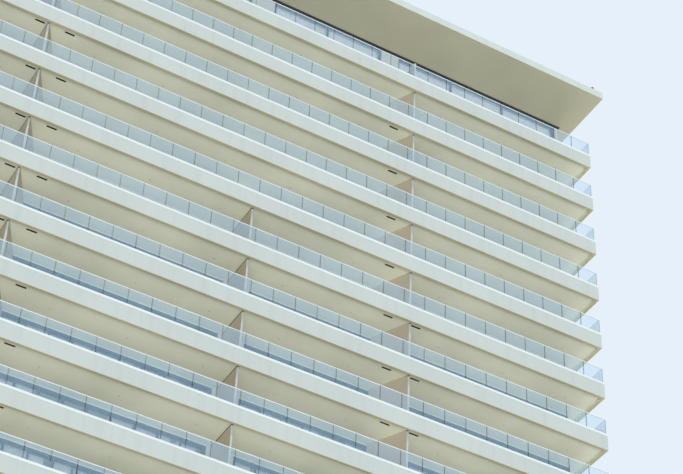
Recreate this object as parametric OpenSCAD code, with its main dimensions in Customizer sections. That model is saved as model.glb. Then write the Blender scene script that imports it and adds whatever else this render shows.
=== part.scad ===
// Apartment tower with wrap-round balconies, as a 1:10 scale model in millimetres.
// The front faces -Y, +X runs to the right along it, and Z = 0 is the ground.
// Levels count from 0 on the ground, and level n stands on floor plate n.

/* [Storeys] */
// Number of floor plates above the ground storey
plate_count = 25; // [6:1:30]
// Height from one floor to the next
storey_h = 350; // [300:5:420]
// Height of the top storey, from the top of its rim to the roof's underside
top_storey_h = 413; // [300:1:500]
// Thickness of the plinth under the ground storey
plinth_h = 20; // [10:1:40]

/* [Bays] */
// Width of each end bay, from the plate's end to the first party screen
end_bay_w = 1219; // [900:1:1500]
// Width of the bay between the left party screen and the middle screen
wide_bay_w = 1258; // [900:1:1500]
// Width of the bay between the middle screen and the right party screen
narrow_bay_w = 961; // [700:1:1300]
// Depth of the floor plates from front to back
plate_d = 2100; // [1600:10:3000]

/* [Floor plates] */
// Height of the concrete edge band, lip included
plate_h = 93; // [80:1:110]
// Width of the lip that hangs round the plate's underside
lip_w = 17; // [8:1:25]
// Depth of the lip below the soffit
lip_h = 17; // [8:1:25]
// Length of a vent slot in the soffit
slot_len = 54; // [30:1:70]
// Width of a vent slot
slot_w = 10; // [6:1:14]
// Depth of a vent slot
slot_depth = 8; // [4:1:14]
// Distance of the slots' centre line from the plate's face
slot_inset = 51; // [35:1:60]
// Gap between a party screen and the slot on its square side
near_slot_gap = 11; // [6:1:20]
// Gap between a party screen's front edge and the slot on its splayed side
far_slot_gap = 93; // [70:1:120]
// Highest plate with the outer slot beside the right party screen
top_far_slot_plate = 24; // [1:1:30]
// Highest plate with the inner slot beside the right party screen
top_near_slot_plate = 20; // [1:1:30]

/* [Rails] */
// Height of the metal rim on the plate's edge
rim_h = 14; // [8:1:16]
// Width of the rim behind the plate's face
rim_w = 14; // [11:1:20]
// How far the rim stands out from the plate's face
rim_proud = 1.5; // [0.5:0.1:3]
// Depth of the groove that holds the glass
groove_h = 8; // [4:0.5:9]
// Clearance on each side of the glass in its groove
groove_gap = 0.3; // [0.1:0.05:0.5]
// Thickness of the rail glass
rail_t = 2.5; // [1.5:0.1:4]
// Height of the rail glass above the rim
rail_h = 98; // [80:1:130]
// Distance of the front glass behind the plate's face
rail_inset = 1.75; // [1:0.05:4]
// Distance of the side glass behind the plate's end
side_rail_inset = 7; // [3:0.5:8]

/* [Walls] */
// Distance of the window wall behind the plate's face
balcony_d = 248; // [180:1:320]
// Thickness of the piers in the window wall
wall_t = 20; // [14:1:30]
// Distance of the side wall behind the plate's end
ledge_w = 52; // [40:1:90]
// Thickness of the side walls
side_wall_t = 25; // [18:1:40]
// Thickness of the window glass
pane_t = 3; // [2:0.5:6]
// Width of the middle pier on the left of its screen
pier_left_w = 30; // [12:1:60]
// Width of the middle pier on the right of its screen
pier_right_w = 116; // [60:1:180]

/* [Side windows] */
// Number of windows in a side wall on each storey
side_window_count = 4; // [1:1:5]
// Width of a side window
side_window_w = 150; // [100:1:220]
// Height of a side window
side_window_h = 150; // [100:1:170]
// Height of a side window's sill above the floor
side_sill_h = 80; // [40:1:90]
// How far the glass laps the wall past the outer windows
pane_lap = 15; // [5:1:40]

/* [Screens] */
// Distance of a screen's front edge behind the plate's face
screen_inset = 36; // [26:1:60]
// Width of a screen's front edge
screen_edge_w = 11; // [8:1:16]
// Width of a party screen where it meets the window wall
screen_back_w = 118; // [60:1:180]
// Highest level with a middle screen
top_middle_screen = 20; // [0:1:30]
// Height of the low screens on the top storey
low_screen_h = 171; // [100:1:220]

/* [Roof] */
// Overhang of the roof past the plates at the front and back
roof_front = 112; // [60:1:160]
// Overhang of the roof past the plates at the ends
roof_end = 40; // [20:1:90]
// Height of the roof's edge
roof_h = 54; // [40:1:90]
// Width of the kerb round the roof
kerb_w = 40; // [20:1:80]
// Depth of the drained roof below its kerb
kerb_h = 14; // [6:1:24]
// Radius of the warning lamp
lamp_r = 11; // [6:0.5:16]
// Height of the warning lamp on the kerb
lamp_h = 28; // [10:1:40]
// Distance of the lamp's centre from the roof's end
lamp_from_end = 64; // [30:1:150]
// Distance of the lamp's centre from the roof's front edge
lamp_from_front = 16; // [16:1:24]

/* [Hidden] */
plate_w = 2 * end_bay_w + wide_bay_w + narrow_bay_w;
half_w = plate_w / 2;
half_d = plate_d / 2;
left_screen_x = end_bay_w - half_w;
middle_screen_x = left_screen_x + wide_bay_w;
right_screen_x = half_w - end_bay_w;
roof_z = plate_count * storey_h + top_storey_h;
wall_y = half_d - balcony_d;
inner_wall_y = wall_y - wall_t;
side_wall_x = half_w - ledge_w;
room_x = side_wall_x - side_wall_t;
half_edge = screen_edge_w / 2;
groove_w = rail_t + 2 * groove_gap;
side_glass_x = half_w - side_rail_inset;
side_groove_x = side_glass_x + groove_gap - groove_w;
front_groove_y = rail_inset - groove_gap - half_d;
side_window_pitch = 2 * wall_y / side_window_count;
side_pane_y = (side_window_count - 1) * side_window_pitch / 2 + side_window_w / 2 + pane_lap;
// Amount by which a cut passes the face that it opens
cut = 1;
lamp_sides = 32;

band_white = [0.85, 0.87, 0.86];
rim_white = [0.93, 0.95, 0.96];
roof_white = [0.84, 0.85, 0.82];
wall_cream = [0.80, 0.79, 0.74];
screen_tan = [0.70, 0.64, 0.54];
pane_blue = [0.35, 0.47, 0.60];
rail_blue = [0.66, 0.76, 0.82, 0.6];
lamp_red = [0.45, 0.08, 0.08];

function plate_name(plate) = str("floor_plate_", plate < 10 ? "0" : "", plate);
function floor_z(level) = level == 0 ? plinth_h : level * storey_h - rim_h;
function ceiling_z(level) = level == plate_count ? roof_z : floor_z(level + 1) - plate_h + lip_h;
function clear_h(level) = ceiling_z(level) - floor_z(level);

module block(low, high) {
    translate(low) cube(high - low);
}

module front_and_back() {
    children();
    mirror([0, 1, 0]) children();
}

module both_ends() {
    children();
    mirror([1, 0, 0]) children();
}

// Slots in the soffit beside a party screen, whose splayed side faces the way given
module slot(x_low) {
    y_low = slot_inset - slot_w / 2 - half_d;
    block([x_low, y_low, lip_h - cut], [x_low + slot_len, y_low + slot_w, lip_h + slot_depth]);
}

module near_slot() {
    slot(-half_edge - near_slot_gap - slot_len);
}

module far_slot() {
    slot(half_edge + far_slot_gap);
}

module left_slots() {
    translate([left_screen_x, 0, 0]) {
        near_slot();
        far_slot();
    }
}

module right_slots(plate) {
    translate([right_screen_x, 0, 0]) mirror([1, 0, 0]) {
        if (plate <= top_near_slot_plate) near_slot();
        if (plate <= top_far_slot_plate) far_slot();
    }
}

// A floor plate: flat on top, with a lip round a raised soffit and vent slots in it
module floor_plate(plate) {
    soffit_x = half_w - lip_w;
    soffit_y = half_d - lip_w;
    color(band_white) translate([0, 0, floor_z(plate) - plate_h]) difference() {
        block([-half_w, -half_d, 0], [half_w, half_d, plate_h]);
        block([-soffit_x, -soffit_y, -cut], [soffit_x, soffit_y, lip_h]);
        front_and_back() {
            left_slots();
            right_slots(plate);
        }
    }
}

module plinth() {
    color(band_white) block([-half_w, -half_d, 0], [half_w, half_d, plinth_h]);
}

// The roof: a broad slab that oversails the plates, with a kerb round its drained top
module roof_slab() {
    roof_x = half_w + roof_end;
    roof_y = half_d + roof_front;
    color(roof_white) translate([0, 0, roof_z]) difference() {
        block([-roof_x, -roof_y, 0], [roof_x, roof_y, roof_h]);
        block([kerb_w - roof_x, kerb_w - roof_y, roof_h - kerb_h],
              [roof_x - kerb_w, roof_y - kerb_w, roof_h + cut]);
    }
}

module roof_lamp() {
    lamp_x = half_w + roof_end - lamp_from_end;
    lamp_y = lamp_from_front - half_d - roof_front;
    color(lamp_red) translate([lamp_x, lamp_y, roof_z + roof_h])
        cylinder(r = lamp_r, h = lamp_h, $fn = lamp_sides);
}

// Piers of the window wall: one behind each party screen and one at the middle screen
module pier(level, x_low, x_high) {
    block([x_low, -wall_y, floor_z(level)], [x_high, -inner_wall_y, ceiling_z(level)]);
}

module window_wall() {
    color(wall_cream) for (level = [0:plate_count]) {
        pier(level, left_screen_x - half_edge, left_screen_x - half_edge + screen_back_w);
        pier(level, middle_screen_x - pier_left_w, middle_screen_x + pier_right_w);
        pier(level, right_screen_x + half_edge - screen_back_w, right_screen_x + half_edge);
    }
}

module front_wall() {
    window_wall();
}

module back_wall() {
    mirror([0, 1, 0]) window_wall();
}

// Side wall of one storey, with its windows cut through
module side_wall_storey(level) {
    sill_z = floor_z(level) + side_sill_h;
    difference() {
        block([room_x, -wall_y, floor_z(level)], [side_wall_x, wall_y, ceiling_z(level)]);
        for (window = [0:side_window_count - 1]) {
            window_y = (window + 1 / 2) * side_window_pitch - wall_y - side_window_w / 2;
            block([room_x - cut, window_y, sill_z],
                  [side_wall_x + cut, window_y + side_window_w, sill_z + side_window_h]);
        }
    }
}

module right_wall() {
    color(wall_cream) for (level = [0:plate_count]) side_wall_storey(level);
}

module left_wall() {
    mirror([1, 0, 0]) right_wall();
}

// Glass behind the piers: one sheet on each storey
module front_windows() {
    color(pane_blue) for (level = [0:plate_count])
        block([-room_x, -inner_wall_y, floor_z(level)],
              [room_x, pane_t - inner_wall_y, ceiling_z(level)]);
}

module back_windows() {
    mirror([0, 1, 0]) front_windows();
}

module side_windows() {
    color(pane_blue) both_ends() for (level = [0:plate_count])
        block([room_x - pane_t, -side_pane_y, floor_z(level)],
              [room_x, side_pane_y, ceiling_z(level)]);
}

// Metal rim: a bar along one edge of a plate, with mitred ends
module rim_bar(half_len, edge_y) {
    linear_extrude(rim_h) polygon([
        [-half_len - rim_proud, -edge_y - rim_proud],
        [half_len + rim_proud, -edge_y - rim_proud],
        [half_len - rim_w, rim_w - edge_y],
        [rim_w - half_len, rim_w - edge_y]
    ]);
}

// Grooves that hold the rail glass and turn the corners with it
module rim_grooves() {
    front_and_back()
        block([-side_groove_x - groove_w, front_groove_y, rim_h - groove_h],
              [side_groove_x + groove_w, front_groove_y + groove_w, rim_h + cut]);
    both_ends()
        block([side_groove_x, front_groove_y, rim_h - groove_h],
              [side_groove_x + groove_w, -front_groove_y, rim_h + cut]);
}

module front_rims() {
    color(rim_white) for (plate = [1:plate_count]) translate([0, 0, floor_z(plate)])
        difference() {
            rim_bar(half_w, half_d);
            rim_grooves();
        }
}

module back_rims() {
    mirror([0, 1, 0]) front_rims();
}

module side_rims() {
    color(rim_white) both_ends() for (plate = [1:plate_count])
        translate([0, 0, floor_z(plate)]) difference() {
            rotate([0, 0, 90]) rim_bar(half_d, half_w);
            rim_grooves();
        }
}

// Rail glass: one sheet along each edge of a plate, standing in the groove
module front_rail_glass() {
    glass_y = rail_inset - half_d;
    color(rail_blue) for (plate = [1:plate_count])
        translate([0, 0, floor_z(plate) + rim_h - groove_h])
            block([-side_glass_x, glass_y, 0], [side_glass_x, glass_y + rail_t, groove_h + rail_h]);
}

module back_rail_glass() {
    mirror([0, 1, 0]) front_rail_glass();
}

module side_rail_glass() {
    glass_y = half_d - rail_inset - rail_t - groove_gap;
    color(rail_blue) both_ends() for (plate = [1:plate_count])
        translate([0, 0, floor_z(plate) + rim_h - groove_h])
            block([side_glass_x - rail_t, -glass_y, 0], [side_glass_x, glass_y, groove_h + rail_h]);
}

// A party screen is square to the front on one side and splayed on the other
module party_screen(height) {
    front_y = screen_inset - half_d;
    linear_extrude(height) polygon([
        [-half_edge, front_y],
        [half_edge, front_y],
        [screen_back_w - half_edge, -wall_y],
        [-half_edge, -wall_y]
    ]);
}

module party_screen_column() {
    color(screen_tan) for (level = [0:plate_count - 1])
        translate([0, 0, floor_z(level)]) party_screen(clear_h(level));
}

module left_party_screens() {
    front_and_back() translate([left_screen_x, 0, 0]) party_screen_column();
}

module right_party_screens() {
    front_and_back() translate([right_screen_x, 0, 0]) mirror([1, 0, 0]) party_screen_column();
}

// Flat screens: full height at the middle, and low ones on the top storey
module flat_screen(x, level, height) {
    translate([0, 0, floor_z(level)])
        block([x - half_edge, screen_inset - half_d, 0], [x + half_edge, -wall_y, height]);
}

module middle_screens() {
    color(screen_tan) front_and_back()
        for (level = [0:min(top_middle_screen, plate_count - 1)])
            flat_screen(middle_screen_x, level, clear_h(level));
}

module top_screens() {
    color(screen_tan) front_and_back() for (x = [left_screen_x, right_screen_x])
        flat_screen(x, plate_count, low_screen_h);
}

plinth();
for (plate = [1:plate_count])
    floor_plate(plate);
roof_slab();
roof_lamp();
front_wall();
back_wall();
left_wall();
right_wall();
front_windows();
back_windows();
side_windows();
front_rims();
back_rims();
side_rims();
front_rail_glass();
back_rail_glass();
side_rail_glass();
left_party_screens();
right_party_screens();
middle_screens();
top_screens();
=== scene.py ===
"""Finishes and fine parts of the apartment tower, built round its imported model."""
import math
import random

import bmesh
import bpy
from bpy.props import FloatProperty, FloatVectorProperty, PointerProperty
from mathutils import Matrix, Vector


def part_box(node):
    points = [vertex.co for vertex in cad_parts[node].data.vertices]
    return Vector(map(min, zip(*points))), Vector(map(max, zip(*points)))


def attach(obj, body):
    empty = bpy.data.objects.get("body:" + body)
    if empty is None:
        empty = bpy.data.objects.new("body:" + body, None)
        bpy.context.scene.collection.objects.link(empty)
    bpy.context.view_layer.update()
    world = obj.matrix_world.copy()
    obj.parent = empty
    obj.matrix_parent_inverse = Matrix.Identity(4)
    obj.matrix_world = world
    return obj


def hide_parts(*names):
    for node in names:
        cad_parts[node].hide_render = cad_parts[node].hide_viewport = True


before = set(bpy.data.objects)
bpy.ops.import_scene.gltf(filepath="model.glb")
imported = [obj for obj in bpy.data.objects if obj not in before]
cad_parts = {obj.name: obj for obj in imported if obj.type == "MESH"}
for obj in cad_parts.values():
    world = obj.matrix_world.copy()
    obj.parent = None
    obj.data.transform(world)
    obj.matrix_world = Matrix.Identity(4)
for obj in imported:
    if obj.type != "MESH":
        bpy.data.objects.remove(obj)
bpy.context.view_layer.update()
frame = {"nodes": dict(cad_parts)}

bl_info = {
    "name": "Apartment Tower",
    "version": (1, 0, 0),
    "blender": (4, 5, 0),
    "location": "View3D > Sidebar > Tower",
    "description": "Dresses the apartment tower with its finishes, rails, windows and lamps",
    "category": "Object",
}

BODY = "root"
NODES = frame["nodes"]
TOUCH = 1e-4
MM = 0.001
X, Y, Z = range(3)
LONG_SIDES = ((-1, "front"), (1, "back"))
SEEDS = {"front": 7, "back": 11, "ends": 23}


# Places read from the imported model

def axis_values(node, axis):
    """The different vertex positions of a node along one axis, from low to high."""
    kept = []
    for value in sorted(vertex.co[axis] for vertex in NODES[node].data.vertices):
        if not kept or value - kept[-1] > TOUCH:
            kept.append(value)
    return kept


def in_groups(values, size):
    """The values in runs of one length, such as the heights on each storey."""
    return [values[start:start + size] for start in range(0, len(values), size)]


PLATES = sorted(name for name in NODES if name.startswith("floor_plate_"))
HALF_W, HALF_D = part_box(PLATES[0])[1].xy
ROOF_LOW, ROOF_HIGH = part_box("roof_slab")
WALL_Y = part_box("back_wall")[1].y
PANE_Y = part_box("back_windows")[1].y
ROOM_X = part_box("front_windows")[1].x
SIDE_WALL_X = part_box("right_wall")[1].x
PIER_EDGES = axis_values("front_wall", X)
BAYS = in_groups([-ROOM_X] + PIER_EDGES + [ROOM_X], 2)
FLOORS = [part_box("plinth")[1].z] + [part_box(name)[1].z for name in PLATES]
CEILINGS = [axis_values(name, Z)[1] for name in PLATES] + [ROOF_LOW.z]
STOREYS = list(zip(FLOORS, CEILINGS))
RAIL_LEVELS = in_groups(axis_values("front_rail_glass", Z), 2)
RAIL_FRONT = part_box("back_rail_glass")
RAIL_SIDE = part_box("side_rail_glass")


def from_screen(red, green, blue):
    """A colour picked on a screen, from 0 to 255, as Blender's linear values."""
    linear = []
    for part in (red, green, blue):
        share = part / 255
        linear.append(share / 12.92 if share <= 0.04045 else ((share + 0.055) / 1.055) ** 2.4)
    return (*linear, 1.0)


# Sizes and colours a user may change

def colour_property(name, description, red, green, blue):
    """A colour setting, whose default is given as it looks on a screen."""
    return FloatVectorProperty(
        name=name,
        description=description,
        subtype="COLOR",
        size=4,
        min=0.0,
        max=1.0,
        default=from_screen(red, green, blue),
    )


def length_property(name, description, millimetres, lowest=0.1):
    """A length setting, given in millimetres of the scale model."""
    return FloatProperty(
        name=name,
        description=description,
        default=millimetres * MM,
        min=lowest * MM,
        precision=4,
        unit="LENGTH",
        subtype="DISTANCE",
    )


class TowerColours(bpy.types.PropertyGroup):
    """Colours of the tower's finishes."""

    band: colour_property("Bands", "Paint on the floor plates' edges", 197, 208, 207)
    # The soffits' warm off-white is partly their paint and partly painted warm light thrown up from below
    soffit: colour_property("Soffits", "Paint under the floor plates", 232, 236, 216)
    # The lips' darker tan is painted shade under the drip lips
    lip: colour_property("Lips", "Paint under the drip lips", 196, 190, 160)
    slot: colour_property("Vents", "Metal inside the vent slots", 28, 28, 27)
    tiles: colour_property("Balcony tiles", "Stone tiles on the balconies", 220, 217, 207)
    rim: colour_property("Rims", "Powder coat on the rims", 226, 237, 241)
    fascia: colour_property("Roof edge", "Paint on the roof's edge", 205, 217, 216)
    eaves: colour_property("Eaves", "Paint under the roof", 190, 190, 166)
    membrane: colour_property("Membrane", "Sheet laid on the roof", 168, 170, 168)
    screen: colour_property("Screens", "Render on the party screens", 206, 196, 175)
    screen_edge: colour_property("Screen edges", "Paint on the screens' front", 190, 201, 200)
    # The splayed faces' darker tan is partly their render and partly painted shade
    splay: colour_property("Splayed faces", "Render on the splayed faces", 194, 185, 165)
    wall: colour_property("Walls", "Plaster on the piers and side walls", 206, 202, 188)
    frame: colour_property("Window frames", "Powder coat on the windows", 36, 46, 60)
    pane: colour_property("Window glass", "Tint of the window glass", 150, 178, 212)
    curtain: colour_property("Curtains", "Cloth of the curtains", 240, 241, 240)
    blind: colour_property("Blinds", "Cloth of the roller blinds", 216, 212, 200)
    # The rail glass's blue-white is partly its tint and partly a painted reflection of blue sky
    rail: colour_property("Rail glass", "Tint of the rail glass", 204, 237, 255)
    rail_edge: colour_property("Glass edges", "Free edges of the rail glass", 176, 198, 206)
    # The glass edges at the joints are dark as painted shade in the joints
    rail_cut: colour_property("Glass joints", "Cut edges of the rail glass at its joints", 52, 72, 92)
    # The seal's dark brown is partly its own colour and partly painted shade in the gap over the screens
    joint: colour_property("Screen joints", "Seal between the screens and the soffits", 80, 62, 42)
    # The channel's dark colour is partly its metal and partly painted shade under the roof
    channel: colour_property("Roof channel", "Metal channel under the roof", 50, 54, 58)
    cap: colour_property("Rail caps", "Metal caps on the rail glass", 246, 251, 253)
    lens: colour_property("Warning lamp", "Lens of the warning lamp", 190, 38, 54)
    trim: colour_property("Lamp trims", "Metal of the lamp trims", 176, 176, 160)


class TowerSizes(bpy.types.PropertyGroup):
    """Sizes of the tower's fine parts, in the scale model."""

    rail_pitch: length_property("Rail panel", "Width of a rail panel with its joint", 127)
    rail_joint: length_property("Rail joint", "Gap between two rail panels", 2)
    cap_width: length_property("Cap width", "Width of the cap on the rail glass", 4)
    cap_height: length_property("Cap height", "Height of the cap on the rail glass", 3.5)
    leaf_width: length_property("Window leaf", "Width of a sliding window leaf", 121)
    stile_width: length_property("Stile", "Width of a window leaf's frame", 7.5)
    head_height: length_property("Window head", "Height of the fixed frame's head", 18)
    head_strip: length_property("Head strip", "Height of the plaster strip over a window head", 4)
    head_joint: length_property("Screen joint", "Height of the seal above a screen", 5)
    channel_height: length_property("Roof channel", "Height of the channel under the roof", 7)
    channel_front: length_property("Channel front", "How far the channel stands out from the piers", 15)
    channel_end: length_property("Channel end", "How far the channel stands out from the side walls", 5)
    window_inset: length_property("Window place", "Distance of the windows behind the piers", 9)
    pleat: length_property("Pleat", "Width of a curtain pleat", 18)
    pleat_depth: length_property("Pleat depth", "Depth of a curtain pleat", 5)
    curtain_gap: length_property("Curtain place", "Distance of the curtains behind the glass", 17)
    lamp_pitch: length_property("Lamp pitch", "Distance between two soffit lamps", 405)
    lamp_inset: length_property("Lamp place", "Distance of the lamps behind the plate's edge", 130)
    lamp_radius: length_property("Lamp radius", "Radius of a soffit lamp's trim", 3.8)
    tile: length_property("Tile", "Width of a balcony tile", 60)
    edge: length_property("Edge", "Width of the softened concrete edges", 1.5)


class TowerStage(bpy.types.PropertyGroup):
    """Light, floor and backdrop."""

    sun: FloatProperty(name="Key light", description="Strength of the key light", default=1.2, min=0)
    fill: FloatProperty(name="Fill light", description="Strength of the fill light", default=0.4, min=0)
    bounce: FloatProperty(name="Bounce light", description="Light thrown up from below", default=1.4, min=0)
    low: FloatProperty(name="Low light", description="Light from far below", default=0.5, min=0)
    sky: FloatProperty(name="Sky light", description="Strength of the soft light", default=0.34, min=0)
    floor: colour_property("Floor", "Colour of the studio floor", 226, 225, 220)
    backdrop: colour_property("Backdrop", "Colour behind the tower", 230, 240, 250)


# Shapes

def chamfer_faces():
    """Faces of a block whose edges are cut off: three points at each of its eight corners."""
    faces = []
    bits = (1, 2, 4)
    for axis in range(3):
        first, second = (other for other in range(3) if other != axis)
        walk = (0, bits[first], bits[first] + bits[second], bits[second])
        for side in (0, bits[axis]):
            faces.append([3 * (side + step) + axis for step in walk])
        for corner in range(8):
            if not corner & bits[axis]:
                far = corner + bits[axis]
                faces.append([3 * corner + first, 3 * far + first, 3 * far + second, 3 * corner + second])
    for corner in range(8):
        faces.append([3 * corner, 3 * corner + 1, 3 * corner + 2])
    return faces


def block_points(low, high, chamfer):
    """Points of a chamfered block."""
    points = []
    for corner in range(8):
        for axis in range(3):
            point = []
            for along in range(3):
                at_high = corner >> along & 1
                inset = 0 if along == axis else chamfer
                point.append(high[along] - inset if at_high else low[along] + inset)
            points.append(tuple(point))
    return points


BLOCK_FACES = chamfer_faces()


class Shape:
    """Points and faces of one piece, gathered part by part."""

    def __init__(self):
        self.points = []
        self.faces = []
        self.finishes = []

    def add(self, points, faces, finish=0):
        """Adds a part. Its finish is the number of a material."""
        start = len(self.points)
        self.points.extend(points)
        self.faces.extend([start + index for index in face] for face in faces)
        self.finishes.extend([finish] * len(faces))

    def tube(self, points, size, finish=0, endless=False):
        """Adds rows of size points, each joined to the next, with closed ends or in an endless loop."""
        total = len(points)
        faces = []
        for here in range(0, total if endless else total - size, size):
            there = (here + size) % total
            for index in range(size):
                after = (index + 1) % size
                faces.append([here + index, here + after, there + after, there + index])
        if not endless:
            faces += [list(range(size))[::-1], list(range(total - size, total))]
        self.add(points, faces, finish)

    def prism(self, outline, place, near, far):
        """Adds an outline drawn out between two stations. place turns a point into space."""
        points = [place(u, v, station) for station in (near, far) for u, v in outline]
        self.tube(points, len(outline))

    def turned(self, profile, centre, sides, finish=0):
        """Adds a profile of radius and height turned round a vertical axis."""
        points = []
        for radius, height in profile:
            for side in range(sides):
                angle = math.tau * side / sides
                x = centre[0] + radius * math.cos(angle)
                y = centre[1] + radius * math.sin(angle)
                points.append((x, y, centre[2] + height))
        self.tube(points, sides, finish)

    def ring(self, low, high, width, depth, chamfer, place):
        """Adds a mitred frame. low and high are its outer corners, and depth its near and far faces."""
        near, far = depth
        profile = [
            (0, near),
            (width - chamfer, near),
            (width, near + math.copysign(chamfer, far - near)),
            (width, far),
            (0, far),
        ]
        points = []
        for right, top in ((0, 0), (1, 0), (1, 1), (0, 1)):
            for inset, station in profile:
                u = high[0] - inset if right else low[0] + inset
                v = high[1] - inset if top else low[1] + inset
                points.append(place(u, v, station))
        self.tube(points, len(profile), endless=True)

    def piece(self, name, materials, smooth=None):
        """Makes the object that rides on the tower. Edges sharper than smooth degrees stay sharp."""
        mesh = bpy.data.meshes.new(name)
        mesh.from_pydata(self.points, [], self.faces)
        for material in materials:
            mesh.materials.append(material)
        mesh.polygons.foreach_set("material_index", self.finishes)
        mesh.update()
        facing_out(mesh)
        if smooth:
            mesh.polygons.foreach_set("use_smooth", [True] * len(mesh.polygons))
            mesh.set_sharp_from_angle(angle=math.radians(smooth))
        made = bpy.data.objects.new(name, mesh)
        bpy.context.scene.collection.objects.link(made)
        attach(made, BODY)
        return made


def facing_out(mesh):
    """Turns every closed part of the mesh so that its faces look outwards."""
    work = bmesh.new()
    work.from_mesh(mesh)
    bmesh.ops.recalc_face_normals(work, faces=work.faces)
    work.to_mesh(mesh)
    work.free()


def along_front(side):
    """Places (along, up, out) on the front for side -1, or on the back for side 1."""
    return lambda along, up, out: (along, side * out, up)


def along_end(side):
    """Places (along, up, out) on the left end for side -1, or on the right end for side 1."""
    return lambda along, up, out: (side * out, along, up)


def placed_block(shape, place, low, high, chamfer, finish=0):
    """Adds a chamfered block given by (along, up, out) corners."""
    first = Vector(place(*low))
    second = Vector(place(*high))
    least = [min(pair) for pair in zip(first, second)]
    most = [max(pair) for pair in zip(first, second)]
    shape.add(block_points(least, most, chamfer), BLOCK_FACES, finish)


def spread(points, axis):
    """How far points lie apart along an axis."""
    values = [point[axis] for point in points]
    return max(values) - min(values)


def declare_cloth(rows):
    """Works out the width, drop and area of a piece's cloth, and keeps none of them. rows holds the (width,
    drop) of each cut length, storey by storey.
    """
    rows = [row for row in rows if row]
    width = max(sum(cut[0] for cut in row) for row in rows)
    length = sum(max(cut[1] for cut in row) for row in rows)
    area = sum(cut[0] * cut[1] for row in rows for cut in row)


# Shader parts

def add_node(tree, kind, inputs=None, **settings):
    """Adds a node. inputs joins another node's socket or sets a value, by name or number."""
    node = tree.nodes.new(kind)
    for key, value in settings.items():
        setattr(node, key, value)
    for key, value in (inputs or {}).items():
        if isinstance(value, bpy.types.NodeSocket):
            tree.links.new(value, node.inputs[key])
        else:
            node.inputs[key].default_value = value
    return node


# A colour mix's sockets go by number, because it uses the same names for each kind of data
MIX_FACTOR, MIX_FIRST, MIX_SECOND = 0, 6, 7
MIX_RESULT = 2


def mixed(tree, factor, first, second):
    """Two colours mixed by a factor."""
    sockets = {MIX_FACTOR: factor, MIX_FIRST: first, MIX_SECOND: second}
    return add_node(tree, "ShaderNodeMix", sockets, data_type="RGBA").outputs[MIX_RESULT]


def scaled(tree, value, low, high, to_low=0.0, to_high=1.0):
    """A value moved from one range to another, and kept inside it."""
    node = add_node(tree, "ShaderNodeMapRange", {
        "Value": value, "From Min": low, "From Max": high, "To Min": to_low, "To Max": to_high,
    })
    return node.outputs["Result"]


def product(tree, first, second):
    """Two values multiplied."""
    return add_node(tree, "ShaderNodeMath", {0: first, 1: second}, operation="MULTIPLY").outputs[0]


def larger(tree, first, second):
    """The larger of two values."""
    return add_node(tree, "ShaderNodeMath", {0: first, 1: second}, operation="MAXIMUM").outputs[0]


def noise(tree, scale, detail):
    """Noise that lies still on each piece."""
    place = add_node(tree, "ShaderNodeTexCoord")
    return add_node(tree, "ShaderNodeTexNoise", {
        "Vector": place.outputs["Object"], "Scale": scale, "Detail": detail,
    }).outputs["Fac"]


def new_group(name, inputs, outputs):
    """An empty shader group with named number sockets, and its two end nodes."""
    group = bpy.data.node_groups.new(name, "ShaderNodeTree")
    for title, value in inputs:
        socket = group.interface.new_socket(title, in_out="INPUT", socket_type="NodeSocketFloat")
        socket.default_value = value
    for title in outputs:
        group.interface.new_socket(title, in_out="OUTPUT", socket_type="NodeSocketFloat")
    start = group.nodes.new("NodeGroupInput")
    end = group.nodes.new("NodeGroupOutput")
    return group, start, end


def rain_group():
    """Streaks that rain draws down an upright face."""
    group, start, end = new_group("Rain Streaks", [("Across", 30), ("Down", 2), ("Amount", 0.5)], ["Mask"])
    place = add_node(group, "ShaderNodeTexCoord")
    stretch = add_node(group, "ShaderNodeCombineXYZ", {
        "X": start.outputs["Across"], "Y": start.outputs["Across"], "Z": start.outputs["Down"],
    })
    point = add_node(group, "ShaderNodeVectorMath", {
        0: place.outputs["Object"], 1: stretch.outputs[0],
    }, operation="MULTIPLY")
    streaks = add_node(group, "ShaderNodeTexNoise", {
        "Vector": point.outputs[0], "Scale": 1.0, "Detail": 4.0, "Roughness": 0.55,
    })
    mask = scaled(group, streaks.outputs["Fac"], 0.5, 0.78)
    group.links.new(product(group, mask, start.outputs["Amount"]), end.inputs["Mask"])
    return group


def grain_group():
    """Fine grain for a bump, and broad patches of lighter and darker colour."""
    group, start, end = new_group("Surface Grain", [("Grain", 400), ("Patches", 3)], ["Height", "Mottle"])
    fine = noise(group, start.outputs["Grain"], detail=3.0)
    broad = noise(group, start.outputs["Patches"], detail=5.0)
    group.links.new(fine, end.inputs["Height"])
    group.links.new(scaled(group, broad, 0.35, 0.65), end.inputs["Mottle"])
    return group


def dust_group():
    """Dust that settles on faces that look up."""
    group, start, end = new_group("Settled Dust", [("Patches", 20), ("Amount", 0.5)], ["Mask"])
    normal = add_node(group, "ShaderNodeNewGeometry")
    parts = add_node(group, "ShaderNodeSeparateXYZ", {"Vector": normal.outputs["Normal"]})
    level = scaled(group, parts.outputs["Z"], 0.2, 0.9)
    patches = scaled(group, noise(group, start.outputs["Patches"], detail=6.0), 0.4, 0.7)
    mask = product(group, product(group, level, patches), start.outputs["Amount"])
    group.links.new(mask, end.inputs["Mask"])
    return group


GROUP_MAKERS = {
    "Rain Streaks": rain_group,
    "Surface Grain": grain_group,
    "Settled Dust": dust_group,
}


def effect(tree, name, **values):
    """A shared effect placed in a material with its own values."""
    group = bpy.data.node_groups.get(name) or GROUP_MAKERS[name]()
    node = add_node(tree, "ShaderNodeGroup", node_tree=group)
    for key, value in values.items():
        node.inputs[key].default_value = value
    return node


def darker(colour, share):
    """The colour multiplied by a share."""
    return (*(part * share for part in colour[:3]), 1.0)


def toned(colour, other, share):
    """The colour moved a share of the way to another."""
    return (*(a + (b - a) * share for a, b in zip(colour[:3], other[:3])), 1.0)


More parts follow.
